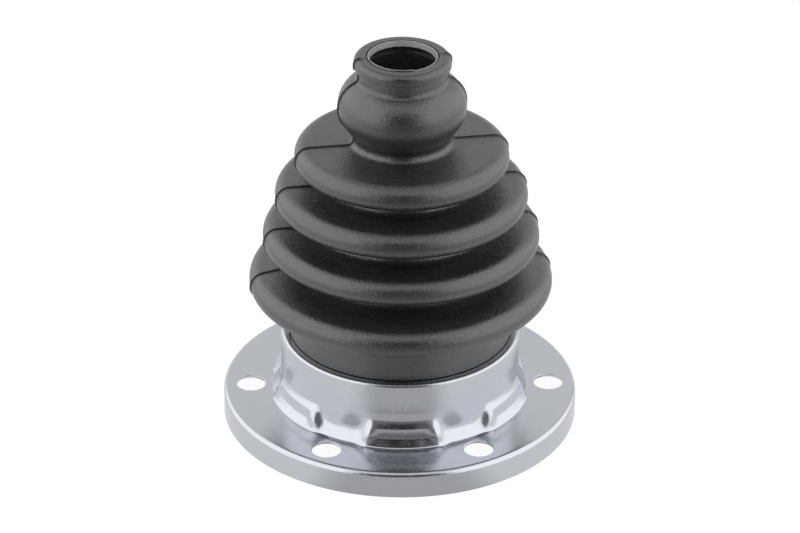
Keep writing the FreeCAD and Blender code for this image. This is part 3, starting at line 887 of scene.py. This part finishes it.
def white_world(room):
    """White to the camera, and a plainer room as light and in reflections."""
    world = bpy.data.worlds.new("white_world")
    bpy.context.scene.world = world
    world.use_nodes = True
    tree = world.node_tree
    tree.nodes.clear()
    path = node(tree, "LightPath").outputs
    white = node(tree, "Math", {"operation": "MAXIMUM"}, {
        0: path["Is Camera Ray"], 1: path["Is Transmission Ray"]})
    strength = node(tree, "Mix", inputs={"Factor": white, "A": room, "B": 1.0})
    back = node(tree, "Background", inputs={"Color": (1, 1, 1, 1), "Strength": strength})
    node(tree, "OutputWorld", inputs={"Surface": back})


def add_card(name, low, high, shade):
    """A standing or lying card between two corners, which the camera sees through and
    which darkens what faces the camera. It glows as much as the shade says."""
    low, high = Vector(low), Vector(high)
    material, tree = new_material(name)
    shader = node(tree, "Emission", inputs={"Strength": shade})
    node(tree, "OutputMaterial", inputs={"Surface": shader})
    stands = high.z > low.z
    deselect()
    bpy.ops.mesh.primitive_plane_add(size=1, location=(low + high) / 2,
                                     rotation=(math.pi / 2 if stands else 0, 0, 0))
    card = bpy.context.object
    card.name = name
    card.scale = (high.x - low.x, high.z - low.z if stands else high.y - low.y, 1)
    bpy.ops.object.transform_apply()
    card.data.materials.append(material)
    card.visible_camera = False
    return card


class BOOT_OT_studio(bpy.types.Operator):
    """White floor, world, lamps, cards and the photo's camera"""
    bl_idname = "boot.studio"
    bl_label = "Studio"

    def execute(self, context):
        settings, finishes = context.scene.boot_studio, context.scene.boot_finishes
        deselect()
        bpy.ops.mesh.primitive_plane_add(size=settings.floor_size)
        floor = context.object
        floor.name = "floor"
        floor.data.materials.append(floor_material(finishes, settings))
        wide, away = settings.card_width / 2, settings.card_distance
        foot, top, over = settings.card_foot, settings.card_top, settings.overhead_height
        cards = [add_card(name, (-wide, -far, low), (wide, -near, high), shade)
                 for name, far, near, low, high, shade in (
                     ("dark_card", away, away, foot, top, settings.card_dark),
                     ("grey_card", away, away, 0, foot, settings.card_grey),
                     ("lying_card", away, settings.card_near, MM, MM, settings.card_lying),
                     ("overhead_card", settings.overhead_far, settings.overhead_near,
                      over, over, settings.overhead))]
        side, near, high = settings.side_distance, -settings.side_front, settings.side_top
        left, right = settings.side_back
        boxes = [add_softbox(*box) for box in (
            ("left_softbox", (-side, near, 0), (-side, left, high), (1, 0, 0), settings.sides),
            ("right_softbox", (side, near, 0), (side, right, high), (-1, 0, 0), settings.sides),
            ("back_softbox", (-side, left, 0), (side, left, settings.back_top), (0, -1, 0),
             settings.back))]
        white_world(settings.room)
        add_camera(settings)
        context.scene.view_settings.view_transform = "Standard"
        return {"FINISHED"}


class StudioSettings(bpy.types.PropertyGroup):
    """Camera and light."""
    camera_distance: length("Camera distance", "From the camera to its aim", 1219.2)
    camera_elevation: angle_of("Camera elevation", "Of the camera over the aim", 28.855)
    camera_azimuth: angle_of("Camera azimuth", "Turn of the camera about the axis", -1.54)
    camera_roll: angle_of("Camera roll", "Clockwise tilt of the picture", 0.52)
    aim_side: length("Aim aside", "From the axis to the camera's aim", -0.22)
    aim_height: length("Aim height", "Of the camera's aim on the axis", 45.86)
    camera_lens: bpy.props.FloatProperty(
        name="Lens", description="Focal length on a 36 mm sensor", default=192.2)
    card_distance: length("Card distance", "From the axis to the cards in front", 1000)
    card_width: length("Card width", "Width of the cards in front", 1100)
    card_foot: length("Card foot", "Lower edge of the dark card", 300)
    card_top: length("Card top", "Upper edge of the dark card", 1130)
    overhead_height: length("Overhead height", "Height of the lit card overhead", 1500)
    overhead_near: length("Overhead near", "From the axis to the overhead card", 300)
    overhead_far: length("Overhead far", "From the axis to the far edge of it", 1300)
    overhead: share("Overhead", "Brightness of the overhead card", 0.85)
    card_near: length("Card near", "From the axis to the card that lies on the floor", 180)
    card_dark: share("Card dark", "Brightness of the dark card", 0.01)
    card_grey: share("Card grey", "Brightness of the card below the dark one", 0.2)
    card_lying: share("Card lying", "Brightness of the card that lies on the floor", 0.22)
    side_distance: length("Side distance", "From the axis to the lamps", 1200)
    side_front: length("Side front", "How far the side lamps reach to the front", 2050)
    side_back: lengths("Side back", "How far the left and right lamps reach to the back",
                       (1900, 1400))
    side_top: length("Side top", "Upper edge of the side lamps", 3000)
    back_top: length("Back top", "Upper edge of the lamp at the back", 1900)
    sides: share("Sides", "Brightness of the side lamps, over the room's", 0.88)
    back: share("Back", "Brightness of the lamp at the back, over the room's", 0.28)
    room: share("Room", "Brightness of the room", 0.5)
    floor_size: length("Floor size", "Width of the square floor", 6000)
    floor_glow: share("Floor glow", "Brightness of the floor itself", 1.05)
    floor_sides: share("Floor sides", "Brightness of the floor in reflections", 0.85)
    floor_front: share("Floor front", "The same in front of the boot", 0.5)
    front_cosine: shares("Front", "Cosine of the turn where that starts and is full",
                         (0.8, 0.96))
    shadow: share("Shadow", "Share of the floor near the boot that takes shadow", 0.1)
    shadow_radius: lengths("Shadow radius", "Where the shadow starts to fade and is gone",
                           (55, 160))


class BOOT_PT_panel(bpy.types.Panel):
    """Sizes, finishes and steps of the boot"""
    bl_idname = "BOOT_PT_panel"
    bl_label = "Rubber Bellows Boot"
    bl_space_type = "VIEW_3D"
    bl_region_type = "UI"
    bl_category = "Boot"

    def draw(self, context):
        for group, (_, operator) in GROUPS.items():
            box = self.layout.box()
            settings = getattr(context.scene, group)
            for name in settings.bl_rna.properties.keys():
                if name not in ("rna_type", "name"):
                    box.prop(settings, name)
            if operator:
                box.operator(operator)


# Each group of settings, with the step that its box in the panel ends with.
GROUPS = {"boot_bellows": (BellowsSizes, "boot.bellows"),
          "boot_flange": (FlangeSizes, "boot.flange"), "boot_finishes": (Finishes, None),
          "boot_studio": (StudioSettings, "boot.studio")}
CLASSES = (*(group for group, _ in GROUPS.values()), BOOT_OT_bellows, BOOT_OT_flange,
           BOOT_OT_studio, BOOT_PT_panel)


def register():
    for item in CLASSES:
        bpy.utils.register_class(item)
    for name, (group, _) in GROUPS.items():
        setattr(bpy.types.Scene, name, bpy.props.PointerProperty(type=group))


def unregister():
    for name in GROUPS:
        delattr(bpy.types.Scene, name)
    for item in reversed(CLASSES):
        bpy.utils.unregister_class(item)


def main():
    register()
    bpy.ops.boot.bellows()
    bpy.ops.boot.flange()
    bpy.ops.boot.studio()


if __name__ == "__main__":
    main()
